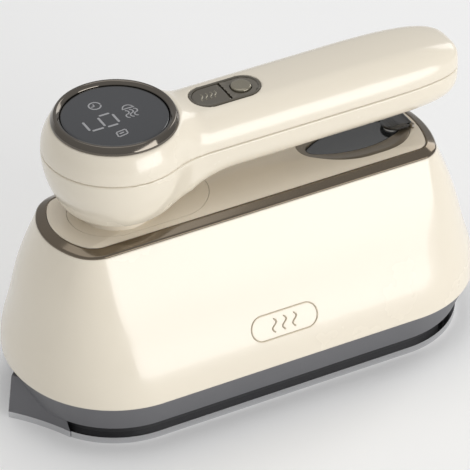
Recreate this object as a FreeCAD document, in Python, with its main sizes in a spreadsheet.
import FreeCAD, Part
import math
import os

import Sketcher
from FreeCAD import Placement, Rotation, Vector

# A compact steam travel iron. X runs from the nose (-X) to the heel (+X), Y is the width and Z is up.
# The origin is on the ironing plane, halfway between the tip of the nose and the heel. Millimetres.

# Driving sizes: name, value, what it is. Widths of outlines are half widths from the X axis.
SIZES = [
    ("sole_nose", 82.8, "soleplate, round front ahead of the origin"),
    ("sole_heel", 85.4, "soleplate, heel behind the origin"),
    ("sole_width", 34.8, "soleplate half width"),
    ("sole_nose_inset", 1.8, "soleplate, half width over the radius of the arcs beside the nose"),
    ("sole_nose_flat", 5.0, "soleplate, arc across the nose over the arcs beside it"),
    ("sole_heel_inset", 0.8, "soleplate, half width over the radius of the arcs beside the heel"),
    ("sole_heel_flat", 10.0, "soleplate, arc across the heel over the arcs beside it"),
    ("sole_thick", 2.5, "soleplate thickness"),
    ("beak_reach", 91.0, "tip of the beak ahead of the origin"),
    ("beak_root", 77.0, "where the beak's flanks meet the round front"),
    ("beak_half", 20.6, "half width of the beak at its root"),
    ("beak_sag", 0.9, "hollow of each flank of the beak"),
    ("beak_rise", 15.2, "height of the prow above the soleplate"),
    ("foot_nose", 88.5, "hull bottom edge, nose"),
    ("foot_heel", 90.8, "hull bottom edge, heel"),
    ("foot_width", 40.8, "hull bottom edge, half width"),
    ("foot_nose_inset", 2.8, "hull bottom edge, half width over the radius of the arcs beside the nose"),
    ("foot_nose_flat", 8.0, "hull bottom edge, arc across the nose over the arcs beside it"),
    ("foot_heel_inset", 2.8, "hull bottom edge, half width over the radius of the arcs beside the heel"),
    ("foot_heel_flat", 8.0, "hull bottom edge, arc across the heel over the arcs beside it"),
    ("rim_nose", 75.2, "hull top rim, nose"),
    ("rim_heel", 75.0, "hull top rim, heel"),
    ("rim_width", 20.9, "hull top rim, half width"),
    ("rim_nose_inset", 8.1, "hull top rim, half width over the radius of the arcs beside the nose"),
    ("rim_nose_flat", 15.0, "hull top rim, arc across the nose over the arcs beside it"),
    ("rim_heel_inset", 12.1, "hull top rim, half width over the radius of the arcs beside the heel"),
    ("rim_heel_flat", 31.0, "hull top rim, arc across the heel over the arcs beside it"),
    ("side_swell", 0.95, "swell of the hull's sides between foot and rim"),
    ("nose_swell", 2.3, "largest swell of the hull at the nose"),
    ("heel_swell", 1.8, "largest swell of the hull at the heel"),
    ("boss_short", 4.2, "screw boss ribs end this far inside the hull bottom edge"),
    ("skirt_low", 7.0, "height of the heat shield's lower edge"),
    ("hull_low", 19.0, "height of the hull's bottom edge"),
    ("hull_high", 72.0, "height of the hull's top rim"),
    ("hull_wall", 2.2, "hull wall"),
    ("skirt_wall", 2.0, "heat shield wall"),
    ("casting_inset", 3.2, "casting edge inside the soleplate edge"),
    ("casting_high", 11.0, "height of the casting's top"),
    ("heater_rad", 4.0, "heating tube radius"),
    ("heater_bend", 22.0, "radius of the heater's bend"),
    ("heater_front", 38.0, "centre of the heater's bend ahead of the origin"),
    ("heater_back", 55.0, "cold ends of the heater behind the origin"),
    ("heater_high", 8.0, "height of the heater's centre line"),
    ("heater_gap", 0.3, "clearance of the heater in its groove"),
    ("chamber_half", 14.0, "steam chamber half width"),
    ("chamber_floor", 5.0, "height of the steam chamber's floor"),
    ("cover_thick", 1.6, "steam chamber cover"),
    ("vent_rad", 1.25, "steam hole radius"),
    ("ring_wide", 3.8, "trim ring width"),
    ("ring_lip", 0.5, "upright edge at the foot of the trim ring"),
    ("ring_high", 74.2, "height of the trim ring's inner edge"),
    ("snug", 0.15, "gap around a piece that is set into another"),
    ("deck_low", 71.6, "underside of the deck"),
    ("deck_crown", 76.0, "top of the deck's crown"),
    ("deck_fall", 1.9, "fall of the deck from its middle to its edges"),
    ("hub_place", -47.0, "pivot axis along X"),
    ("plinth_half", 14.6, "pivot plinth half width"),
    ("plinth_back", -12.9, "rear end of the pivot plinth"),
    ("plinth_seat", 73.2, "underside of the pivot plinth"),
    ("collar_rad", 13.0, "collar under the hub"),
    ("collar_high", 79.4, "top of the collar"),
    ("shaft_rad", 9.0, "pivot shaft radius"),
    ("shaft_bore", 6.4, "wire passage through the pivot shaft"),
    ("shaft_high", 88.0, "top of the pivot shaft"),
    ("running", 0.05, "radial clearance of a running fit"),
    ("hub_low", 80.3, "underside of the hub"),
    ("hub_floor", 2.7, "hub floor thickness"),
    ("lip_rad", 19.6, "hub lower lip radius"),
    ("bulge_rad", 25.7, "hub largest radius"),
    ("bulge_high", 101.5, "height of the hub's largest radius"),
    ("hub_top_rad", 22.3, "hub radius under the display ring"),
    ("hub_high", 112.0, "top of the hub"),
    ("arm_half", 16.0, "handle arm half width"),
    ("arm_low", 86.3, "underside of the handle arm"),
    ("arm_crown", 110.8, "crown of the handle arm"),
    ("crown_arc", 53.0, "arc over the crown of the handle arm"),
    ("crown_corner", 9.3, "upper corner radius of the handle arm"),
    ("belly_corner", 8.5, "lower corner radius of the handle arm"),
    ("tail_place", 65.8, "where the handle's round tail begins"),
    ("tail_reach", 21.2, "length of the handle's round tail"),
    ("grip_wall", 2.2, "handle shell wall"),
    ("seam_hub", 101.6, "height of the shell seam around the hub"),
    ("seam_arm", 98.6, "height of the shell seam along the arm"),
    ("sweep_front", -25.0, "where the swept underside meets the hub"),
    ("sweep_back", -7.0, "where the swept underside leaves the arm"),
    ("sweep_low", 81.5, "lowest height of the swept underside"),
    ("sweep_half", 11.5, "half width of the swept underside"),
    ("lens_rad", 18.65, "display lens radius"),
    ("lens_low", 112.2, "underside of the display lens"),
    ("lens_high", 113.7, "face of the display lens"),
    ("bezel_rad", 22.1, "display ring outer radius"),
    ("bezel_high", 114.9, "top of the display ring"),
    ("panel_front", -18.0, "front end of the button panel"),
    ("panel_back", 8.6, "rear end of the button panel"),
    ("panel_half", 6.4, "button panel half width"),
    ("panel_low", 107.0, "underside of the button panel"),
    ("panel_high", 110.5, "face of the button panel"),
    ("steam_back", -4.6, "rear edge of the steam button"),
    ("steam_half", 5.6, "steam button half width"),
    ("power_place", 1.6, "power button centre along X"),
    ("power_rad", 3.7, "power button radius"),
    ("power_high", 112.0, "top of the power button's dome"),
    ("button_skirt", 0.8, "how far each button's flange reaches under the panel"),
    ("switch_high", 103.6, "top of the push switches"),
    ("board_high", 100.4, "top of the switch board"),
    ("board_thick", 1.5, "circuit board thickness"),
    ("window_place", 47.0, "middle of the tank window along X"),
    ("egg_nose", 22.5, "window bezel ahead of its middle"),
    ("egg_heel", 21.8, "window bezel behind its middle"),
    ("egg_width", 13.3, "window bezel half width"),
    ("pane_nose", 19.0, "window pane ahead of the bezel's middle"),
    ("pane_width", 7.5, "window pane half width"),
    ("bezel_low", 72.6, "underside of the window bezel"),
    ("bezel_face", 74.6, "face of the window bezel"),
    ("pane_face", 74.0, "face of the window pane"),
    ("pane_lip", 1.2, "flange of the window pane under its bezel"),
    ("tank_low", 42.0, "underside of the water tank"),
    ("tank_shoulder", 69.6, "shoulder of the water tank"),
    ("tank_wall", 1.6, "water tank wall"),
    ("tank_half", 13.0, "water tank half width"),
    ("tank_reach", 23.0, "water tank half length"),
    ("pane_heel_arc", 3.5, "radius of the window pane's heel end"),
    ("spout_gap", 0.5, "filler spout inside the pane's heel end"),
    ("spout_wall", 0.7, "filler spout wall"),
    ("spout_low", 69.8, "bottom of the filler spout"),
    ("spout_high", 74.5, "top of the filler spout"),
    ("flap_hinge", 68.3, "filler flap hinge along X"),
    ("flap_axis", 75.4, "height of the filler flap's hinge"),
    ("flap_front", 58.6, "free end of the filler flap"),
    ("flap_half", 4.8, "filler flap half width"),
    ("flap_low", 74.9, "underside of the filler flap"),
    ("pad_thick", 0.3, "seal pad under the filler flap, which closes on the spout's rim"),
    ("flap_thick", 1.0, "filler flap thickness"),
    ("pin_rad", 0.45, "filler hinge pin radius"),
    ("screw_rad", 1.4, "screw shank radius"),
    ("head_rad", 2.6, "screw head radius"),
    ("head_high", 1.8, "screw head height"),
    ("pump_axis", 31.0, "height of the pump's axis"),
    ("pump_rad", 8.0, "pump body radius"),
    ("pump_half", 12.0, "pump body half length"),
    ("nipple_rad", 1.5, "hose nipple radius"),
    ("hose_rad", 2.6, "hose radius"),
    ("hose_bore", 1.6, "hose bore radius"),
    ("hose_bend", 6.0, "hose bend radius"),
    ("inlet_place", -30.0, "steam inlet along X"),
    ("outlet_place", 30.0, "tank outlet along X"),
    ("logic_high", 40.0, "underside of the control board"),
    ("gland_high", 34.0, "height of the cord gland"),
    ("gland_rad", 5.2, "cord gland outer radius"),
    ("cord_bore", 3.25, "cord gland bore radius"),
    ("gland_inset", 10.8, "inner end of the cord gland ahead of the body's heel"),
    ("gland_length", 7.6, "cord gland length"),
    ("gland_flange", 1.6, "cord gland flange thickness"),
    ("flange_rad", 7.0, "cord gland flange radius"),
]

doc = FreeCAD.newDocument("travel_iron")
sheet = doc.addObject("Spreadsheet::Sheet", "dims")
NODES = []


class Size:
    """A number together with the spreadsheet expression that gives it."""

    def __init__(self, value, text):
        self.value = value
        self.text = text

    def __add__(self, other):
        other = as_size(other)
        return Size(self.value + other.value, f"({self.text} + {other.text})")

    def __sub__(self, other):
        other = as_size(other)
        return Size(self.value - other.value, f"({self.text} - {other.text})")

    def __mul__(self, other):
        other = as_size(other)
        return Size(self.value * other.value, f"({self.text} * {other.text})")

    def __truediv__(self, other):
        other = as_size(other)
        return Size(self.value / other.value, f"({self.text} / {other.text})")

    def __neg__(self):
        return Size(-self.value, f"(0 - {self.text})")

    def __radd__(self, other):
        return as_size(other) + self

    def __rsub__(self, other):
        return as_size(other) - self

    def __rmul__(self, other):
        return as_size(other) * self


def as_size(amount):
    """Any plain number as a Size, so that it can be bound like the rest."""
    if isinstance(amount, Size):
        return amount
    return Size(float(amount), f"({float(amount)!r})")


class Sizes:
    """The driving sizes by name."""


d = Sizes()
for row, (name, value, note) in enumerate(SIZES, start=1):
    sheet.set(f"A{row}", name)
    sheet.set(f"B{row}", str(value))
    sheet.setAlias(f"B{row}", name)
    sheet.set(f"C{row}", note)
    setattr(d, name, Size(value, f"dims.{name}"))
doc.recompute()


def bind(thing, path, amount):
    """Set a property to a size and keep it tied to the spreadsheet."""
    amount = as_size(amount)
    if "." not in path:
        setattr(thing, path, amount.value)
    thing.setExpression(path, amount.text)


# Outlines -----------------------------------------------------------------------------------------


class Outline:
    """A plan outline that is symmetric about X: an arc across each end, corner arcs and straight sides."""

    def __init__(self, nose, heel, width, nose_arc, nose_corner, heel_arc, heel_corner):
        self.parts = [nose, heel, width, nose_arc, nose_corner, heel_arc, heel_corner]

    def grown(self, amount):
        """The same outline moved outwards all round."""
        return Outline(*[part + amount for part in self.parts])

    def stretched(self, nose, heel):
        """The same outline with its two ends moved outwards."""
        return Outline(self.parts[0] + nose, self.parts[1] + heel, *self.parts[2:])

    def towards(self, other, share):
        """The outline part of the way from this one to another."""
        return Outline(*[a * (1.0 - share) + b * share for a, b in zip(self.parts, other.parts)])


def plan(name):
    """The named outline, whose end and corner arcs follow its half width."""
    width = getattr(d, f"{name}_width")
    arcs = []
    for end in ("nose", "heel"):
        corner = width - getattr(d, f"{name}_{end}_inset")
        arcs += [corner + getattr(d, f"{name}_{end}_flat"), corner]
    return Outline(getattr(d, f"{name}_nose"), getattr(d, f"{name}_heel"), width, *arcs)


SOLE = plan("sole")
FOOT = plan("foot")
RIM = plan("rim")
EGG = Outline(d.egg_nose, d.egg_heel, d.egg_width, as_size(7.5), as_size(30.0), as_size(8.5), as_size(17.0))
PANE = Outline(
    d.pane_nose, d.pane_nose, d.pane_width, as_size(3.0), as_size(37.0), d.pane_heel_arc, as_size(29.0)
)
SPOUT_RAD = d.pane_heel_arc - d.spout_gap
MOUTH_RAD = SPOUT_RAD - d.spout_wall
MOUTH_PLACE = d.window_place + d.pane_nose - d.pane_heel_arc
GLAND_PLACE = d.foot_heel - d.gland_inset
TANK = Outline(d.tank_reach, d.tank_reach, d.tank_half, as_size(20.0), as_size(6.0), as_size(20.0), as_size(6.0))


# Sketches -----------------------------------------------------------------------------------------


def new_body(label, x=None, y=None, z=None):
    """An empty body, placed where the sizes say."""
    body = doc.addObject("PartDesign::Body", label)
    body.Label = label
    for axis, amount in (("x", x), ("y", y), ("z", z)):
        if amount is not None:
            bind(body, f"Placement.Base.{axis}", amount)
    return body


def new_sketch(body, plane, offset=0.0):
    """A sketch on one of the body's origin planes, moved along the plane's normal."""
    sketch = body.newObject("Sketcher::SketchObject", f"{body.Name}_{plane}")
    face = next(feature for feature in body.Origin.OriginFeatures if feature.Role == f"{plane}_Plane")
    sketch.AttachmentSupport = [(face, "")]
    sketch.MapMode = "FlatFace"
    offset = as_size(offset)
    sketch.AttachmentOffset = Placement(Vector(0, 0, offset.value), Rotation())
    sketch.setExpression("AttachmentOffset.Base.z", offset.text)
    return sketch


def hold(sketch, kind, *places, amount):
    """A named dimension that follows the spreadsheet."""
    amount = as_size(amount)
    index = sketch.addConstraint(Sketcher.Constraint(kind, *places, amount.value))
    name = f"size{index}"
    sketch.renameConstraint(index, name)
    sketch.setExpression(f"Constraints.{name}", amount.text)


def hold_point(sketch, geometry, point, x=None, y=None):
    """Fix a point's coordinates; a coordinate of zero keeps the point on the axis."""
    for amount, kind, axis in ((x, "DistanceX", -2), (y, "DistanceY", -1)):
        if amount is None:
            continue
        amount = as_size(amount)
        if amount.value == 0.0:
            sketch.addConstraint(Sketcher.Constraint("PointOnObject", geometry, point, axis))
        else:
            hold(sketch, kind, -1, 1, geometry, point, amount=amount)


def circle(sketch, x, y, radius):
    """One circle."""
    x, y, radius = as_size(x), as_size(y), as_size(radius)
    shape = Part.Circle(Vector(x.value, y.value, 0), Vector(0, 0, 1), radius.value)
    index = sketch.addGeometry(shape)
    hold_point(sketch, index, 3, x, y)
    hold(sketch, "Radius", index, amount=radius)


def arc_between(centre, start, end, turn):
    """An arc about a centre; turn is +1 for anticlockwise and -1 for clockwise."""
    radius = math.hypot(start[0] - centre[0], start[1] - centre[1])
    first = math.atan2(start[1] - centre[1], start[0] - centre[0])
    last = math.atan2(end[1] - centre[1], end[0] - centre[0])
    if turn < 0:
        first, last = last, first
    full = Part.Circle(Vector(centre[0], centre[1], 0), Vector(0, 0, 1), radius)
    return Part.ArcOfCircle(full, first, last)


def path(sketch, start, steps, closed=True):
    """A run of lines and arcs. A step is (x, y) for a line or (x, y, centre x, centre y, turn) for an arc.

    Every line's end and every arc's centre is held by its coordinates. An arc's end is held by the
    coordinate that moves most along the arc, because its radius already follows from its start.
    """
    here = tuple(as_size(part) for part in start)
    indices = []
    exits = []
    entries = []
    for step in steps:
        there = tuple(as_size(part) for part in step[:2])
        first = (here[0].value, here[1].value)
        last = (there[0].value, there[1].value)
        if len(step) == 2:
            index = sketch.addGeometry(Part.LineSegment(Vector(*first, 0), Vector(*last, 0)))
            entries.append((index, 1))
            exits.append((index, 2))
        else:
            middle = tuple(as_size(part) for part in step[2:4])
            centre = (middle[0].value, middle[1].value)
            turn = step[4]
            index = sketch.addGeometry(arc_between(centre, first, last, turn))
            entries.append((index, 1 if turn > 0 else 2))
            exits.append((index, 2 if turn > 0 else 1))
        indices.append(index)
        here = there
    for place, index in enumerate(indices):
        following = place + 1
        if following < len(indices):
            sketch.addConstraint(Sketcher.Constraint("Coincident", *exits[place], *entries[following]))
        elif closed:
            sketch.addConstraint(Sketcher.Constraint("Coincident", *exits[place], *entries[0]))
    if not closed:
        hold_point(sketch, *entries[0], *start)
    for place, step in enumerate(steps):
        if len(step) == 2:
            hold_point(sketch, *exits[place], step[0], step[1])
            continue
        hold_point(sketch, indices[place], 3, step[2], step[3])
        across = abs(as_size(step[0]).value - as_size(step[2]).value)
        along = abs(as_size(step[1]).value - as_size(step[3]).value)
        if along > across:
            hold_point(sketch, *exits[place], step[0], None)
        else:
            hold_point(sketch, *exits[place], None, step[1])
    return indices


def corner_centre(reach, width, arc, corner):
    """Centre of a corner arc, and the angle at which it meets the arc across the end."""
    side = 1.0 if arc > corner and arc > width else -1.0
    gap = math.sqrt(max((arc - corner) ** 2 - (width - corner) ** 2, 0.0))
    x = (reach - arc) + side * gap
    angle = math.atan2(side * (width - corner), side * (x - (reach - arc)))
    return x, angle


def iron(sketch, outline):
    """Draw an Outline: eight tangent pieces, closed."""
    nose, heel, width, nose_arc, nose_corner, heel_arc, heel_corner = [part.value for part in outline.parts]
    nose_x, nose_angle = corner_centre(nose, width, nose_arc, nose_corner)
    heel_x, heel_angle = corner_centre(heel, width, heel_arc, heel_corner)
    quarter = math.pi / 2

    def arc(x, y, radius, first, last):
        return Part.ArcOfCircle(Part.Circle(Vector(x, y, 0), Vector(0, 0, 1), radius), first, last)

    pieces = [
        arc(nose_arc - nose, 0, nose_arc, math.pi - nose_angle, math.pi + nose_angle),
        arc(-nose_x, nose_corner - width, nose_corner, math.pi + nose_angle, 3 * quarter),
        Part.LineSegment(Vector(-nose_x, -width, 0), Vector(heel_x, -width, 0)),
        arc(heel_x, heel_corner - width, heel_corner, -quarter, -heel_angle),
        arc(heel - heel_arc, 0, heel_arc, -heel_angle, heel_angle),
        arc(heel_x, width - heel_corner, heel_corner, heel_angle, quarter),
        Part.LineSegment(Vector(heel_x, width, 0), Vector(-nose_x, width, 0)),
        arc(-nose_x, width - nose_corner, nose_corner, quarter, math.pi - nose_angle),
    ]
    first = sketch.addGeometry(pieces)[0]
    for place in range(8):
        following = (place + 1) % 8
        sketch.addConstraint(Sketcher.Constraint("Tangent", first + place, 2, first + following, 1))
    hold_point(sketch, first, 3, outline.parts[3] - outline.parts[0], 0)
    hold(sketch, "Radius", first, amount=outline.parts[3])
    hold_point(sketch, first + 4, 3, outline.parts[1] - outline.parts[5], 0)
    hold(sketch, "Radius", first + 4, amount=outline.parts[5])
    for place, amount in ((1, outline.parts[4]), (3, outline.parts[6])):
        hold(sketch, "Radius", first + place, amount=amount)
        sketch.addConstraint(Sketcher.Constraint("Equal", first + place, first + 8 - place))
    for place, amount in ((2, -outline.parts[2]), (6, outline.parts[2])):
        sketch.addConstraint(Sketcher.Constraint("Horizontal", first + place))
        hold_point(sketch, first + place, 1, None, amount)


def pill(sketch, front, back, half):
    """A slot shape along X, round at both ends."""
    path(
        sketch,
        (front + half, -half),
        [
            (back - half, -half),
            (back - half, half, back - half, 0, 1),
            (front + half, half),
            (front + half, -half, front + half, 0, 1),
        ],
    )


def tongue(sketch, front, back, half):
    """A slot shape along X, round at the front and square at the back."""
    path(
        sketch,
        (front + half, -half),
        [
            (back, -half),
            (back, half),
            (front + half, half),
            (front + half, -half, front + half, 0, 1),
        ],
    )


def rectangle(sketch, x0, x1, y0, y1):
    """A rectangle between two corners."""
    path(sketch, (x0, y0), [(x1, y0), (x1, y1), (x0, y1), (x0, y0)])


# Features -----------------------------------------------------------------------------------------


def raise_between(body, low, high, draw, *shape):
    """Pad a sketch that lies on the XY plane at one height up to another height."""
    sketch = new_sketch(body, "XY", low)
    draw(sketch, *shape)
    pad = body.newObject("PartDesign::Pad", f"{body.Name}_pad")
    pad.Profile = sketch
    bind(pad, "Length", as_size(high) - low)
    return pad


def cut_between(body, low, high, draw, *shape):
    """Pocket a sketch that lies on the XY plane at the upper height down to the lower height."""
    sketch = new_sketch(body, "XY", high)
    draw(sketch, *shape)
    pocket = body.newObject("PartDesign::Pocket", f"{body.Name}_cut")
    pocket.Profile = sketch
    bind(pocket, "Length", as_size(high) - low)
    return pocket


def across(body, plane, kind, width, draw, *shape):
    """A pad or pocket that is symmetric about one of the body's origin planes."""
    sketch = new_sketch(body, plane)
    draw(sketch, *shape)
    feature = body.newObject(f"PartDesign::{kind}", f"{body.Name}_{kind.lower()}")
    feature.Profile = sketch
    feature.SideType = "Symmetric"
    bind(feature, "Length", width)
    return feature


def turn(body, draw, *shape, angle=360.0, plane="XZ"):
    """Revolve a sketch about the body's own Z axis."""
    sketch = new_sketch(body, plane)
    draw(sketch, *shape)
    feature = body.newObject("PartDesign::Revolution", f"{body.Name}_turn")
    feature.Profile = sketch
    feature.ReferenceAxis = (sketch, ["V_Axis"])
    feature.Angle = angle
    if angle < 360.0:
        feature.Midplane = True
    return feature


def loft(body, kind, sections, draw=iron, ruled=False):
    """Loft through outlines at given heights; kind is AdditiveLoft or SubtractiveLoft."""
    sketches = []
    for height, outline in sections:
        sketch = new_sketch(body, "XY", height)
        draw(sketch, outline)
        sketches.append(sketch)
    feature = body.newObject(f"PartDesign::{kind}", f"{body.Name}_{kind}")
    feature.Profile = sketches[0]
    feature.Sections = sketches[1:]
    feature.Ruled = ruled
    return feature


def pipe(body, kind, spine_plane, spine_height, start, steps, section_plane, section_offset, circles):
    """Sweep circles along a path; circles are (x, y, radius) in the section's plane."""
    spine = new_sketch(body, spine_plane, spine_height)
    path(spine, start, steps, closed=False)
    section = new_sketch(body, section_plane, section_offset)
    for x, y, radius in circles:
        circle(section, x, y, radius)
    feature = body.newObject(f"PartDesign::{kind}", f"{body.Name}_{kind}")
    feature.Profile = section
    feature.Spine = (spine, [f"Edge{index + 1}" for index in range(len(steps))])
    return feature


def keep(item, label=None):
    """Mark an object as a finished sub-part."""
    if label:
        item.Label = label
    NODES.append(item)
    return item


def rod(label, radius, low, high, x=0.0, y=0.0):
    """An upright cylinder."""
    item = doc.addObject("Part::Cylinder", label)
    bind(item, "Radius", radius)
    bind(item, "Height", as_size(high) - low)
    for axis, amount in (("x", x), ("y", y), ("z", low)):
        bind(item, f"Placement.Base.{axis}", amount)
    return item


def block(label, x0, x1, y0, y1, z0, z1):
    """A box between two corners."""
    item = doc.addObject("Part::Box", label)
    bind(item, "Length", as_size(x1) - x0)
    bind(item, "Width", as_size(y1) - y0)
    bind(item, "Height", as_size(z1) - z0)
    for axis, amount in (("x", x0), ("y", y0), ("z", z0)):
        bind(item, f"Placement.Base.{axis}", amount)
    return item


def join(label, *items):
    """One fused object."""
    item = doc.addObject("Part::MultiFuse", label)
    item.Shapes = list(items)
    item.Refine = True
    return item


def group(label, items):
    """Several separate solids in one node."""
    item = doc.addObject("Part::Compound", label)
    item.Links = list(items)
    return item


def minus(label, base, tool):
    """One object cut by another."""
    item = doc.addObject("Part::Cut", label)
    item.Base = base
    item.Tool = tool
    item.Refine = True
    return item


def shared(label, first, second):
    """The space that two objects share."""
    item = doc.addObject("Part::Common", label)
    item.Base = first
    item.Tool = second
    item.Refine = True
    return item


def tube(label, outer, inner, low, high, x=0.0, y=0.0):
    """An upright tube."""
    solid = rod(f"{label}_solid", outer, low, high, x, y)
    hole = rod(f"{label}_hole", inner, low, high, x, y)
    return minus(label, solid, hole)


def screw(label, x, y, head_low, head_top, tip, shank=None, head=None):
    """A screw of one solid: a head between two heights and a shank down or up to its tip."""
    shank = d.screw_rad if shank is None else shank
    head = d.head_rad if head is None else head
    if as_size(tip).value < as_size(head_low).value:
        low, high = tip, head_top
    else:
        low, high = head_low, tip
    return join(
        label,
        rod(f"{label}_head", head, head_low, head_top, x, y),
        rod(f"{label}_shank", shank, low, high, x, y),
    )


# Places that several pieces share -----------------------------------------------------------------

VENTS = [(8.0 * step - 44.0, side * (2.5 + 1.1 * step)) for step in range(9) for side in (-1, 1)]
COVER_SCREWS = [(x, side * 15.9) for x in (-26.0, 4.0, 34.0) for side in (-1, 1)]
SPACERS = [(70.0, 12.0), (70.0, -12.0), (-72.0, 9.0), (-72.0, -9.0)]
HULL_BOSSES = [(x, y) for x in (-58.0, 58.0) for y in (-30.0, 30.0)]
LOGIC_POSTS = [(x, y) for x in (-62.0, -28.0) for y in (-12.0, 12.0)]
GRIP_SCREWS = [24.0, 64.0]
SWITCH_POSTS = [-19.0, 12.0]
STEAM_SWITCH = -11.0


def vents(sketch, radius):
    """The steam holes, in two rows that spread towards the heel."""
    for x, y in VENTS:
        circle(sketch, x, y, radius)


def circles(sketch, places, radius):
    """A circle at each place."""
    for x, y in places:
        circle(sketch, x, y, radius)


# Sole assembly ------------------------------------------------------------------------------------


def beak(sketch, reach, root, half, sag):
    """A pointed beak with slightly hollow flanks, closed across its root."""
    run = reach - root
    chord = (run * run + half * half).value ** 0.5
    # The hollow flank's arc: its centre lies outside the beak, square to the middle of the flank.
    bow = chord * chord / (8.0 * sag.value) - sag.value / 2
    centre_x = -(reach.value + root.value) / 2 - bow * half.value / chord
    centre_y = half.value / 2 + bow * run.value / chord
    path(
        sketch,
        (-reach, 0),
        [
            (-root, -half, centre_x, -centre_y, -1),
            (-root, half),
            (-reach, 0, centre_x, centre_y, -1),
        ],
    )


def make_soleplate():
    body = new_body("soleplate")
    raise_between(body, 0, d.sole_thick, iron, SOLE)
    raise_between(body, 0, d.sole_thick, beak, d.beak_reach, d.beak_root, d.beak_half, d.beak_sag)
    cut_between(body, 0, d.sole_thick, vents, d.vent_rad)
    keep(body)


def heater_path(offset=0.0):
    """Start and steps of the heater's U, seen from above."""
    return (d.heater_back + offset, d.heater_bend), [
        (-d.heater_front, d.heater_bend),
        (-d.heater_front, -d.heater_bend, -d.heater_front, 0, 1),
        (d.heater_back + offset, -d.heater_bend),
    ]


def make_casting():
    body = new_body("sole_casting")
    raise_between(body, d.sole_thick, d.casting_high, iron, SOLE.grown(-d.casting_inset))
    cut_between(body, d.chamber_floor, d.casting_high, pill, as_size(-52.0), as_size(50.0), d.chamber_half)
    cut_between(body, d.sole_thick, d.chamber_floor, vents, d.vent_rad)
    start, steps = heater_path()
    groove = d.heater_rad + d.heater_gap
    pipe(
        body,
        "SubtractivePipe",
        "XY",
        d.heater_high,
        start,
        steps,
        "YZ",
        d.heater_back,
        [(d.heater_bend, d.heater_high, groove)],
    )
    low = d.heater_high - groove
    for side in (-1, 1):
        inner = (d.heater_bend - groove) * side
        outer = (d.heater_bend + groove) * side
        cut_between(body, low, d.casting_high, rectangle, d.heater_back - 1.0, 72.0, inner, outer)
    cut_between(body, 6.0, d.casting_high, circles, COVER_SCREWS, d.screw_rad + d.running)
    cut_between(body, 6.0, d.casting_high, circles, SPACERS, d.screw_rad + d.running)
    # Narrow ribs left standing would be cast in; two baffles slow the water on the chamber floor.
    raise_between(body, d.chamber_floor, 8.0, rectangle, -30.0, -28.0, -10.0, 10.0)
    raise_between(body, d.chamber_floor, 8.0, rectangle, 36.0, 38.0, -10.0, 10.0)
    keep(body)


def make_heater():
    body = new_body("heating_element")
    start, steps = heater_path()
    pipe(
        body,
        "AdditivePipe",
        "XY",
        d.heater_high,
        start,
        steps,
        "YZ",
        d.heater_back,
        [(d.heater_bend, d.heater_high, d.heater_rad)],
    )
    keep(body)
    pins = []
    for side in (-1, 1):
        pin = doc.addObject("Part::Cylinder", f"terminal_{'near' if side < 0 else 'far'}")
        pin.Radius = 1.4
        pin.Height = 9.0
        pin.Placement = Placement(Vector(0, 0, 0), Rotation(Vector(0, 1, 0), 90))
        bind(pin, "Placement.Base.x", d.heater_back)
        bind(pin, "Placement.Base.y", d.heater_bend * side)
        bind(pin, "Placement.Base.z", d.heater_high)
        pins.append(pin)
    keep(group("heater_terminals", pins))


def make_chamber_cover():
    top = d.casting_high + d.cover_thick
    body = new_body("steam_chamber_cover")
    raise_between(body, d.casting_high, top, pill, as_size(-55.3), as_size(53.3), d.chamber_half + 3.3)
    cut_between(body, d.casting_high, top, circles, COVER_SCREWS, d.screw_rad + 0.2)
    cut_between(body, d.casting_high, top, circle, d.inlet_place, 0, d.hose_bore)
    keep(body)
    screws = [
        screw(f"cover_screw_{index}", x, y, top, top + 1.6, 7.0, head=2.3)
        for index, (x, y) in enumerate(COVER_SCREWS)
    ]
    keep(group("cover_screws", screws))
    inlet = new_body("steam_inlet", x=d.inlet_place)
    raise_between(inlet, top, top + 1.5, circle, 0, 0, 4.0)
    raise_between(inlet, top, 22.0, circle, 0, 0, d.nipple_rad)
    cut_between(inlet, top, 22.0, circle, 0, 0, 0.8)
    keep(inlet)


def make_sole_sensors():
    top = d.casting_high + d.cover_thick
    keep(rod("temperature_sensor", 3.0, d.casting_high, d.casting_high + 3.5, -71.0))
    fuse = doc.addObject("Part::Cylinder", "thermal_fuse")
    fuse.Radius = 1.6
    fuse.Height = 13.0
    fuse.Placement = Placement(Vector(8.0, 6.0, 0), Rotation(Vector(0, 1, 0), 90))
    bind(fuse, "Placement.Base.z", top + 1.6)
    keep(fuse)
    clip = new_body("fuse_clip", x=14.5, y=6.0)
    raise_between(clip, top, top + 4.0, rectangle, -2.0, 2.0, -3.0, 3.0)
    across(clip, "YZ", "Pocket", 10.0, circle, 0, top + 1.6, 1.7)
    across(clip, "YZ", "Pocket", 10.0, rectangle, -1.7, 1.7, top - 1.0, top + 1.6)
    keep(clip)


# Heat shield and hull -----------------------------------------------------------------------------

SKIRT_TOP = FOOT.grown(-0.7)
SKIRT_LOW = SOLE.grown(0.5)


def prow(sketch, level):
    """The prow's outline at its foot (0) or at its top (1)."""
    if level == 0:
        beak(sketch, d.beak_reach, d.beak_root, d.beak_half, d.beak_sag)
    else:
        beak(sketch, d.beak_reach - 1.7, d.beak_root + 2.0, d.beak_half * 0.72, d.beak_sag)


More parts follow.
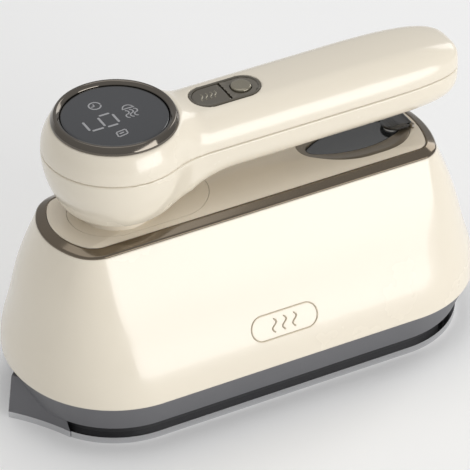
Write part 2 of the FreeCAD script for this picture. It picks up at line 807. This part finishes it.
def make_heat_shield():
    inside = d.hull_low - d.skirt_wall
    body = new_body("heat_shield")
    loft(body, "AdditiveLoft", [(d.skirt_low, SKIRT_LOW), (d.hull_low, SKIRT_TOP)], ruled=True)
    prow_top = d.sole_thick + d.beak_rise
    loft(body, "AdditiveLoft", [(d.sole_thick, 0), (prow_top, 1)], draw=prow, ruled=True)
    under = SKIRT_LOW.grown(-d.skirt_wall)
    cut_between(body, d.sole_thick, d.skirt_low, iron, under)
    loft(
        body,
        "SubtractiveLoft",
        [(d.skirt_low, under), (inside, SKIRT_TOP.grown(-d.skirt_wall - 0.8))],
        ruled=True,
    )
    cut_between(body, inside, d.hull_low, circles, SPACERS, d.screw_rad + 0.2)
    cut_between(body, inside, d.hull_low, circles, HULL_BOSSES, d.screw_rad + 0.2)
    cut_between(body, inside, d.hull_low, circle, d.inlet_place, 0, d.hose_rad + 1.0)
    cut_between(body, inside, d.hull_low, rectangle, 44.0, 54.0, -26.0, -16.0)
    raise_between(body, d.hull_low, d.logic_high, circles, LOGIC_POSTS, 2.6)
    keep(body)
    spacers = [
        tube(f"spacer_{index}", 3.2, d.screw_rad + 0.2, d.casting_high, inside, x, y)
        for index, (x, y) in enumerate(SPACERS)
    ]
    keep(group("shield_spacers", spacers))
    screws = [
        screw(f"shield_screw_{index}", x, y, d.hull_low, d.hull_low + d.head_high, 7.0)
        for index, (x, y) in enumerate(SPACERS)
    ]
    keep(group("shield_screws", screws))


BOSS_REACH = d.foot_width - d.boss_short


def hull_level(share, build):
    """Height and outline part of the way from foot to rim; build says how far the ends' swell has grown."""
    height = d.hull_low + (d.hull_high - d.hull_low) * share
    outline = FOOT.towards(RIM, share).grown(d.side_swell)
    return height, outline.stretched((d.nose_swell - d.side_swell) * build, (d.heel_swell - d.side_swell) * build)


# The hull's sides are nearly straight and its ends are rounder, fullest two thirds of the way up.
HULL_LEVELS = [
    (d.hull_low, FOOT),
    hull_level(0.132, 0.4),
    hull_level(0.321, 0.62),
    hull_level(0.66, 1.0),
    (d.hull_high, RIM),
]


def make_hull():
    body = new_body("hull_shell")
    loft(body, "AdditiveLoft", HULL_LEVELS)
    loft(body, "SubtractiveLoft", [(height, outline.grown(-d.hull_wall)) for height, outline in HULL_LEVELS])
    for x, y in HULL_BOSSES:
        raise_between(body, d.hull_low, 28.0, circle, x, y, 3.8)
        rib = (y, BOSS_REACH) if y > 0 else (BOSS_REACH * -1.0, y)
        raise_between(body, d.hull_low + 5.0, 28.0, rectangle, x - 1.0, x + 1.0, *rib)
    cut_between(body, d.hull_low, 27.0, circles, HULL_BOSSES, d.screw_rad + d.running)
    gland = new_sketch(body, "YZ", d.foot_heel + 1.2)
    circle(gland, 0, d.gland_high, d.gland_rad + d.running)
    hole = body.newObject("PartDesign::Pocket", "hull_gland_hole")
    hole.Profile = gland
    hole.Length = 20.0
    keep(body)
    inside = d.hull_low - d.skirt_wall
    screws = [
        screw(f"hull_screw_{index}", x, y, inside - d.head_high, inside, 26.0)
        for index, (x, y) in enumerate(HULL_BOSSES)
    ]
    keep(group("hull_screws", screws))


def make_gland():
    """The cord's gland in the rear wall, along X."""
    body = new_body("cord_gland", z=d.gland_high)
    for length, radius in ((d.gland_length, d.gland_rad), (d.gland_flange, d.flange_rad)):
        sketch = new_sketch(body, "YZ", GLAND_PLACE)
        circle(sketch, 0, 0, radius)
        pad = body.newObject("PartDesign::Pad", "gland_pad")
        pad.Profile = sketch
        bind(pad, "Length", length)
    sketch = new_sketch(body, "YZ", d.foot_heel + 1.2)
    circle(sketch, 0, 0, d.cord_bore)
    bore = body.newObject("PartDesign::Pocket", "gland_bore")
    bore.Profile = sketch
    bore.Length = 20.0
    keep(body)


def make_trim_ring():
    body = new_body("trim_ring")
    step = d.hull_high + d.ring_lip
    raise_between(body, d.hull_high, step, iron, RIM)
    loft(body, "AdditiveLoft", [(step, RIM), (d.ring_high, RIM.grown(0.4 - d.ring_wide))], ruled=True)
    cut_between(body, d.hull_high, d.ring_high, iron, RIM.grown(-d.ring_wide))
    keep(body)


# Deck ---------------------------------------------------------------------------------------------


def crown_cut(sketch, half_chord, top, fall):
    """The region above a shallow arc; the arc is crown-high in the middle."""
    bow = (half_chord * half_chord + fall * fall) / (fall * 2.0)
    path(
        sketch,
        (half_chord, top - fall),
        [
            (-half_chord, top - fall, 0, top - bow, 1),
            (-half_chord * 1.2, top - fall),
            (-half_chord * 1.2, top + 5.0),
            (half_chord * 1.2, top + 5.0),
            (half_chord * 1.2, top - fall),
            (half_chord, top - fall),
        ],
    )


def crown(body, top):
    """Round the top of a deck piece across its width and along its length."""
    width = d.rim_width - d.ring_wide
    length = d.rim_nose - d.ring_wide
    across(body, "YZ", "Pocket", 400.0, crown_cut, width, top, d.deck_fall)
    across(body, "XZ", "Pocket", 200.0, crown_cut, length, top, d.deck_fall)


DECK = RIM.grown(-d.ring_wide - d.snug)
PLINTH_FRONT = d.hub_place - d.plinth_half - 3.0


def shift(sketch, outline, x):
    """Draw an Outline moved along X by moving the sketch itself."""
    sketch.AttachmentOffset = Placement(Vector(x.value, 0, sketch.AttachmentOffset.Base.z), Rotation())
    sketch.setExpression("AttachmentOffset.Base.x", x.text)
    iron(sketch, outline)


def make_deck():
    body = new_body("deck_panel")
    raise_between(body, d.deck_low, d.deck_crown + 1.0, iron, DECK)
    crown(body, d.deck_crown)
    top = d.deck_crown + 1.0
    cut_between(
        body, d.plinth_seat, top, pill, PLINTH_FRONT - d.snug, d.plinth_back + d.snug, d.plinth_half + d.snug
    )
    cut_between(body, d.deck_low, d.plinth_seat, circle, d.hub_place, 0, d.shaft_rad + d.snug)
    cut_between(body, d.bezel_low, top, shift, EGG.grown(d.snug), d.window_place)
    cut_between(body, d.deck_low, d.bezel_low, shift, EGG.grown(-1.0), d.window_place)
    keep(body)


def make_pivot():
    plinth = new_body("pivot_plinth")
    raise_between(plinth, d.plinth_seat, d.deck_crown + 1.0, pill, PLINTH_FRONT, d.plinth_back, d.plinth_half)
    crown(plinth, d.deck_crown)
    raise_between(plinth, d.plinth_seat, d.collar_high, circle, d.hub_place, 0, d.collar_rad)
    cut_between(plinth, d.plinth_seat, d.collar_high, circle, d.hub_place, 0, d.shaft_rad)
    keep(plinth)
    shaft = new_body("pivot_shaft", x=d.hub_place)
    raise_between(shaft, d.deck_low - 3.0, d.deck_low, circle, 0, 0, d.collar_rad)
    raise_between(shaft, d.deck_low, d.shaft_high, circle, 0, 0, d.shaft_rad)
    cut_between(shaft, d.deck_low - 3.0, d.shaft_high, circle, 0, 0, d.shaft_bore)
    keep(shaft)
    keep(tube("pivot_washer", d.collar_rad, d.shaft_rad, d.collar_high, d.hub_low - 0.2, d.hub_place))
    floor = d.hub_low + d.hub_floor
    keep(tube("pivot_retainer", d.collar_rad, d.shaft_rad, floor + 0.2, floor + 2.0, d.hub_place))


# Water tank, window and filler --------------------------------------------------------------------


def make_tank():
    """The tank is a cup with a cover welded on; the cover's neck holds the gasket under the window."""
    seam = d.tank_shoulder - d.tank_wall
    neck_top = d.deck_low - 0.4
    cup = new_body("water_tank", x=d.window_place - 1.0)
    raise_between(cup, d.tank_low, seam, iron, TANK)
    cut_between(cup, d.tank_low + d.tank_wall, seam, iron, TANK.grown(-d.tank_wall))
    outlet = d.outlet_place - d.window_place + 1.0
    raise_between(cup, d.tank_low - 4.0, d.tank_low, circle, outlet, 0, d.nipple_rad)
    cut_between(cup, d.tank_low - 4.0, d.tank_low + d.tank_wall, circle, outlet, 0, 0.8)
    keep(cup)
    cover = new_body("tank_cover", x=d.window_place - 1.0)
    raise_between(cover, seam, d.tank_shoulder, iron, TANK)
    raise_between(cover, d.tank_shoulder, neck_top, shift, PANE.grown(d.pane_lip), as_size(1.0))
    cut_between(cover, seam, neck_top, shift, PANE.grown(-0.2), as_size(1.0))
    keep(cover)
    gasket = new_body("tank_gasket", x=d.window_place)
    raise_between(gasket, neck_top, d.deck_low, iron, PANE.grown(d.pane_lip))
    cut_between(gasket, neck_top, d.deck_low, iron, PANE.grown(-0.2))
    keep(gasket)


def make_window():
    bezel = new_body("tank_bezel", x=d.window_place)
    raise_between(bezel, d.bezel_low, d.bezel_face, iron, EGG)
    cut_between(bezel, d.bezel_low, d.bezel_face, iron, PANE.grown(0.1))
    hinge = d.flap_hinge - d.window_place
    mouth = MOUTH_PLACE - d.window_place
    for side in (-1, 1):
        ends = sorted((side * 3.6, side * 5.0))
        raise_between(bezel, d.bezel_face, d.flap_axis + 0.8, rectangle, hinge - 0.8, hinge + 0.8, *ends)
    across(bezel, "XZ", "Pocket", 20.0, circle, hinge, d.flap_axis, d.pin_rad)
    keep(bezel)
    pane = new_body("tank_window", x=d.window_place)
    raise_between(pane, d.deck_low, d.bezel_low, iron, PANE.grown(d.pane_lip))
    raise_between(pane, d.bezel_low, d.pane_face, iron, PANE)
    cut_between(pane, d.deck_low, d.pane_face, circle, mouth, 0, SPOUT_RAD)
    keep(pane)
    keep(tube("filler_spout", SPOUT_RAD, MOUTH_RAD, d.spout_low, d.spout_high, MOUTH_PLACE))


def make_flap():
    body = new_body("filler_flap", x=d.flap_hinge)
    front = d.flap_front - d.flap_hinge
    mouth = MOUTH_PLACE - d.flap_hinge
    top = d.flap_low + d.flap_thick
    raise_between(body, d.flap_low, top, tongue, front, as_size(-1.1), d.flap_half)
    raise_between(body, d.flap_low - d.pad_thick, d.flap_low, circle, mouth, 0, SPOUT_RAD)
    raise_between(body, d.flap_low, top, rectangle, -1.2, 0.0, -3.2, 3.2)
    across(body, "XZ", "Pad", 6.4, circle, 0, d.flap_axis, 0.75)
    across(body, "XZ", "Pocket", 20.0, circle, 0, d.flap_axis, d.pin_rad + d.running)
    for step in range(4):
        rib = front + 1.6 + 1.1 * step
        raise_between(body, top, top + 0.25, rectangle, rib, rib + 0.45, -2.6, 2.6)
    keep(body)
    pin = doc.addObject("Part::Cylinder", "filler_pin")
    bind(pin, "Radius", d.pin_rad)
    pin.Height = 10.8
    pin.Placement = Placement(Vector(0, 5.4, 0), Rotation(Vector(1, 0, 0), 90))
    bind(pin, "Placement.Base.x", d.flap_hinge)
    bind(pin, "Placement.Base.z", d.flap_axis)
    keep(pin)


# Pump, hoses and boards ---------------------------------------------------------------------------


def make_pump():
    body = new_body("pump_body", z=d.pump_axis)
    for length, radius in ((d.pump_half * 2.0, d.pump_rad), (d.pump_half * 2.0 + 8.0, d.nipple_rad)):
        across(body, "YZ", "Pad", length, circle, 0, 0, radius)
    across(body, "YZ", "Pocket", d.pump_half * 2.0 + 8.0, circle, 0, 0, 0.8)
    keep(body)
    coil = new_body("pump_coil", z=d.pump_axis)
    half = d.pump_axis - d.hull_low
    across(coil, "YZ", "Pad", 14.0, rectangle, -half, half, -half, half)
    across(coil, "YZ", "Pocket", 14.0, circle, 0, 0, d.pump_rad + d.running)
    keep(coil)
    low = d.pump_axis
    tip = d.pump_half + 1.0
    suction = new_body("suction_hose")
    bend = d.outlet_place - d.hose_bend
    pipe(
        suction,
        "AdditivePipe",
        "XZ",
        0,
        (d.outlet_place, d.tank_low - 1.0),
        [
            (d.outlet_place, low + d.hose_bend),
            (bend, low, bend, low + d.hose_bend, -1),
            (tip, low),
        ],
        "XY",
        d.tank_low - 1.0,
        [(d.outlet_place, 0, d.hose_rad), (d.outlet_place, 0, d.hose_bore)],
    )
    keep(suction)
    steam = new_body("steam_hose")
    bend = d.inlet_place + d.hose_bend
    foot = d.casting_high + d.cover_thick + 3.0
    pipe(
        steam,
        "AdditivePipe",
        "XZ",
        0,
        (d.inlet_place, foot),
        [
            (d.inlet_place, low - d.hose_bend),
            (bend, low, bend, low - d.hose_bend, -1),
            (-tip, low),
        ],
        "XY",
        foot,
        [(d.inlet_place, 0, d.hose_rad), (d.inlet_place, 0, d.hose_bore)],
    )
    keep(steam)


def make_logic():
    top = d.logic_high + d.board_thick
    body = new_body("control_board")
    raise_between(body, d.logic_high, top, rectangle, -66.0, -24.0, -16.0, 16.0)
    keep(body)
    parts = [
        block("relay", -62.0, -48.0, -13.0, -3.0, top, top + 10.0),
        block("transformer", -62.0, -46.0, 1.0, 14.0, top, top + 11.0),
        rod("capacitor", 4.0, top, top + 11.0, -38.0, -7.0),
        block("driver_chip", -40.0, -30.0, 2.0, 8.0, top, top + 2.0),
    ]
    keep(group("board_parts", parts))
    block_low = d.hull_low
    keep(block("terminal_block", 58.0, 70.0, -9.0, 9.0, block_low, block_low + 9.0))


# Handle -------------------------------------------------------------------------------------------


def hub_profile(sketch, inset, low, high):
    """Half of the hub's section: a lip, a bulge and a shoulder. Inset moves its side inwards."""
    lip = d.lip_rad - inset
    bulge = d.bulge_rad - inset
    shoulder = d.hub_top_rad - inset
    lip_high = d.hub_low + 1.2
    rise = d.bulge_high - lip_high
    lower_bow = ((bulge - lip) * (bulge - lip) + rise * rise) / ((bulge - lip) * 2.0)
    fall = high - d.bulge_high
    upper_bow = ((bulge - shoulder) * (bulge - shoulder) + fall * fall) / ((bulge - shoulder) * 2.0)
    start = low if inset.value > 0 else lip_high
    steps = [(bulge, d.bulge_high, bulge - lower_bow, d.bulge_high, 1)]
    if inset.value > 0:
        drop = d.bulge_high - low
        reach = lower_bow
        side = (reach.value ** 2 - drop.value ** 2) ** 0.5
        inner = Size(
            (bulge - lower_bow).value + side,
            f"({(bulge - lower_bow).text} + sqrt({(reach * reach - drop * drop).text}))",
        )
        first = (inner, start)
        closing = [(shoulder, high, bulge - upper_bow, d.bulge_high, 1), (0, high), (0, low), (inner, low)]
    else:
        first = (lip, lip_high)
        closing = [
            (shoulder, high, bulge - upper_bow, d.bulge_high, 1),
            (0, high),
            (0, low),
            (lip - 1.0, low),
            (lip, lip_high),
        ]
    path(sketch, first, steps + closing)


def arm_section(sketch, inset, half):
    """The handle arm's section: a crowned top, round corners and a flat belly. Half is for a revolved end."""
    width = d.arm_half - inset
    top = d.arm_crown - inset
    low = d.arm_low + inset
    bow = d.crown_arc - inset
    corner = d.crown_corner - inset
    belly = d.belly_corner - inset
    # The crown's arc and the corner's arc touch where both centres and the touching point are in line.
    ratio = (width - corner) / (bow - corner)
    lift = Size(
        (1.0 - ratio.value**2) ** 0.5,
        f"sqrt(1 - {ratio.text} * {ratio.text})",
    )
    crown_y = top - bow
    corner_y = crown_y + (bow - corner) * lift
    touch_x = bow * ratio
    touch_y = crown_y + bow * lift
    right = [
        (width, low + belly),
        (width, corner_y),
        (touch_x, touch_y, width - corner, corner_y, 1),
    ]
    if half:
        path(
            sketch,
            (width - belly, low),
            [(width, low + belly, width - belly, low + belly, 1)]
            + right[1:]
            + [(0, top, 0, crown_y, 1), (0, low), (width - belly, low)],
        )
        return
    path(
        sketch,
        (width - belly, low),
        [(width, low + belly, width - belly, low + belly, 1)]
        + right[1:]
        + [
            (-touch_x, touch_y, 0, crown_y, 1),
            (-width, corner_y, corner - width, corner_y, 1),
            (-width, low + belly),
            (belly - width, low, belly - width, low + belly, 1),
            (width - belly, low),
        ],
    )


def arm(label, inset):
    """The straight handle arm and its tail, which is half a turn of the same section drawn out along X."""
    body = new_body(label)
    sketch = new_sketch(body, "YZ", d.hub_place)
    arm_section(sketch, inset, False)
    pad = body.newObject("PartDesign::Pad", f"{label}_length")
    pad.Profile = sketch
    bind(pad, "Length", d.tail_place - d.hub_place)
    half_turn = new_body(f"{label}_half_turn")
    turn(half_turn, arm_section, inset, True, angle=180.0)
    tail = doc.addObject("Part::Scale", f"{label}_tail")
    tail.Base = half_turn
    tail.Uniform = False
    bind(tail, "XScale", d.tail_reach / d.arm_half)
    bind(tail, "Placement.Base.x", d.tail_place)
    return join(f"{label}_whole", body, tail)


def sweep(sketch):
    """The hollow curve that carries the arm's underside down to the hub."""
    run = d.sweep_back - d.sweep_front
    drop = d.arm_low - d.sweep_low
    bow = (run * run + drop * drop) / (drop * 2.0)
    top = d.arm_low + d.grip_wall * 2.0
    path(
        sketch,
        (d.hub_place, d.sweep_low),
        [
            (d.sweep_front, d.sweep_low),
            (d.sweep_back, d.arm_low, d.sweep_back, d.arm_low - bow, -1),
            (d.sweep_back, top),
            (d.hub_place, top),
            (d.hub_place, d.sweep_low),
        ],
    )


def above_seam(sketch):
    """The side view of everything above the seam between the handle's shells."""
    path(
        sketch,
        (-90.0, d.seam_hub),
        [(-38.0, d.seam_hub), (-20.0, d.seam_arm), (100.0, d.seam_arm), (100.0, 130.0), (-90.0, 130.0),
         (-90.0, d.seam_hub)],
    )


def make_handle_shells():
    hub = new_body("hub_outside", x=d.hub_place)
    turn(hub, hub_profile, as_size(0.0), d.hub_low, d.hub_high)
    gusset = new_body("swept_underside")
    across(gusset, "XZ", "Pad", d.sweep_half * 2.0, sweep)
    outside = join("handle_outside", hub, arm("arm_outside", as_size(0.0)), gusset)

    hollow_hub = new_body("hub_inside", x=d.hub_place)
    turn(hollow_hub, hub_profile, d.grip_wall, d.hub_low + d.hub_floor, d.hub_high - d.grip_wall)
    inside = join("handle_inside", hollow_hub, arm("arm_inside", d.grip_wall))
    divider = new_body("seam_divider")
    across(divider, "XZ", "Pad", 90.0, above_seam)

    belly = d.arm_low + d.grip_wall
    seam = d.seam_arm
    posts = [rod(f"switch_post_{i}", 2.0, belly - 0.5, d.board_high - d.board_thick, x) for i, x in
             enumerate(SWITCH_POSTS)]
    posts += [rod(f"grip_boss_{i}", 4.0, belly - 0.5, seam, x) for i, x in enumerate(GRIP_SCREWS)]
    holes = [rod(f"grip_hole_{i}", d.screw_rad + 0.2, d.arm_low - 1.0, seam + 1.0, x) for i, x in
             enumerate(GRIP_SCREWS)]
    holes += [rod(f"grip_head_hole_{i}", d.head_rad + 0.2, d.arm_low - 1.0, belly + 1.0, x) for i, x in
              enumerate(GRIP_SCREWS)]
    bore = rod("hub_bore", d.shaft_rad + d.running, d.hub_low - 1.0, d.hub_low + d.hub_floor + 1.0, d.hub_place)
    walls = minus("handle_walls", outside, inside)
    lower = minus("lower_walls", walls, divider)
    lower = join("lower_with_posts", lower, *posts)
    keep(minus("handle_lower_shell", lower, join("lower_holes", bore, *holes)))

    bosses = [rod(f"top_boss_{i}", 4.0, seam, d.arm_crown - 1.5, x) for i, x in enumerate(GRIP_SCREWS)]
    upper = shared("upper_walls", walls, divider)
    upper = join("upper_with_bosses", upper, *bosses)
    openings = new_body("upper_openings")
    raise_between(openings, d.hub_high - 4.0, d.hub_high + 1.0, circle, d.hub_place, 0, d.bezel_rad - 1.9)
    panel = new_body("panel_opening")
    raise_between(
        panel, 104.0, d.arm_crown + 3.0, pill, d.panel_front - d.snug, d.panel_back + d.snug, d.panel_half + d.snug
    )
    drills = [rod(f"top_hole_{i}", d.screw_rad + d.running, seam - 1.0, d.arm_crown - 3.0, x) for i, x in
              enumerate(GRIP_SCREWS)]
    keep(minus("handle_upper_shell", upper, join("upper_holes", openings, panel, *drills)))
    screws = [
        screw(f"grip_screw_{i}", x, 0.0, belly - d.head_high + 1.0, belly + 1.0, 106.0)
        for i, x in enumerate(GRIP_SCREWS)
    ]
    keep(group("handle_screws", screws))


def ring_profile(sketch):
    """Half section of the display ring."""
    skirt = d.bezel_rad - 2.1
    path(
        sketch,
        (d.lens_rad + 0.2, d.hub_high - 2.5),
        [
            (skirt, d.hub_high - 2.5),
            (skirt, d.hub_high),
            (d.bezel_rad, d.hub_high),
            (d.bezel_rad, d.hub_high + 0.9),
            (d.bezel_rad - 1.2, d.bezel_high),
            (d.bezel_rad - 2.4, d.bezel_high),
            (d.lens_rad + 0.2, d.lens_high + 0.2),
            (d.lens_rad + 0.2, d.hub_high - 2.5),
        ],
    )


def make_display():
    ring = new_body("display_ring", x=d.hub_place)
    turn(ring, ring_profile)
    keep(ring)
    keep(rod("display_lens", d.lens_rad, d.lens_low, d.lens_high, d.hub_place))
    module_low = d.lens_low - 2.4
    keep(rod("display_module", d.lens_rad - 1.6, module_low, d.lens_low, d.hub_place))
    keep(rod("display_board", d.lens_rad - 0.6, module_low - d.board_thick, module_low, d.hub_place))


def make_buttons():
    panel = new_body("button_panel")
    raise_between(panel, d.panel_low, d.panel_high, pill, d.panel_front, d.panel_back, d.panel_half)
    raise_between(
        panel, d.panel_low, d.panel_low + 0.8, pill, d.panel_front - 1.2, d.panel_back + 1.2, d.panel_half + 1.2
    )
    front = d.panel_front + 0.8
    cut_between(panel, d.panel_low, d.panel_high, tongue, front, d.steam_back, d.steam_half)
    cut_between(panel, d.panel_low, d.panel_high, circle, d.power_place, 0, d.power_rad + d.snug)
    keep(panel)

    flange_high = d.panel_low - 0.3
    flange_low = flange_high - 1.3
    stem_low = d.switch_high + 1.3
    steam = new_body("steam_button")
    raise_between(
        steam, flange_high, d.panel_high - 0.3, tongue, front + d.snug, d.steam_back - d.snug, d.steam_half - d.snug
    )
    raise_between(steam, flange_low, flange_high, tongue, front - 0.4, d.steam_back + 0.5, d.steam_half + 0.4)
    raise_between(steam, stem_low, flange_low, circle, STEAM_SWITCH, 0, 1.4)
    keep(steam)

    power = new_body("power_button", x=d.power_place)
    raise_between(power, flange_high, d.power_high - 0.9, circle, 0, 0, d.power_rad)
    raise_between(power, flange_low, flange_high, circle, 0, 0, d.power_rad + d.button_skirt)
    raise_between(power, stem_low, flange_low, circle, 0, 0, 1.4)
    turn(power, dome, d.power_rad, d.power_high - 0.9, d.power_high)
    keep(power)

    board = new_body("switch_board")
    low = d.board_high - d.board_thick
    raise_between(board, low, d.board_high, rectangle, -22.0, 15.0, -7.0, 7.0)
    keep(board)
    switches = []
    for index, x in enumerate((as_size(STEAM_SWITCH), d.power_place)):
        base = block(f"switch_base_{index}", x - 3.0, x + 3.0, -3.0, 3.0, d.board_high, d.switch_high - 0.8)
        plunger = rod(f"switch_plunger_{index}", 1.5, d.board_high, d.switch_high, x)
        switches.append(join(f"switch_{index}", base, plunger))
    keep(group("push_switches", switches))


def dome(sketch, radius, low, high):
    """Half section of a shallow dome."""
    rise = high - low
    bow = (radius * radius + rise * rise) / (rise * 2.0)
    path(sketch, (radius, low), [(0, high, 0, high - bow, 1), (0, low), (radius, low)])


# Build, check and write ---------------------------------------------------------------------------

make_soleplate()
make_casting()
make_heater()
make_chamber_cover()
make_sole_sensors()
make_heat_shield()
make_hull()
make_gland()
make_trim_ring()
make_deck()
make_pivot()
make_tank()
make_window()
make_flap()
make_pump()
make_logic()
make_handle_shells()
make_display()
make_buttons()
doc.recompute()


def check_document():
    """Stop on any failed object, on a feature that changed nothing and on an unusable sub-part."""
    faults = []
    for item in doc.Objects:
        if "Invalid" in item.State or "Error" in item.State:
            faults.append(f"{item.Name}: {item.State} {item.getStatusString()}")
    for item in doc.Objects:
        if item.TypeId != "PartDesign::Body":
            continue
        before = None
        for feature in item.Group:
            if not feature.isDerivedFrom("PartDesign::Feature"):
                continue
            volume = feature.Shape.Volume if not feature.Shape.isNull() else 0.0
            if before is not None and abs(volume - before) < 1e-4:
                faults.append(f"{item.Name}: {feature.Name} changed nothing")
            before = volume
    for item in NODES:
        if item.Shape.isNull() or not item.Shape.isValid() or not item.Shape.Solids:
            faults.append(f"{item.Label}: no valid solid")
    if faults:
        raise RuntimeError("\n".join(faults))


check_document()
os.makedirs("parts", exist_ok=True)
for node in NODES:
    node.Shape.exportStep(f"parts/{node.Label}.step")
    print(node.Label, len(node.Shape.Solids), round(node.Shape.Volume, 1))
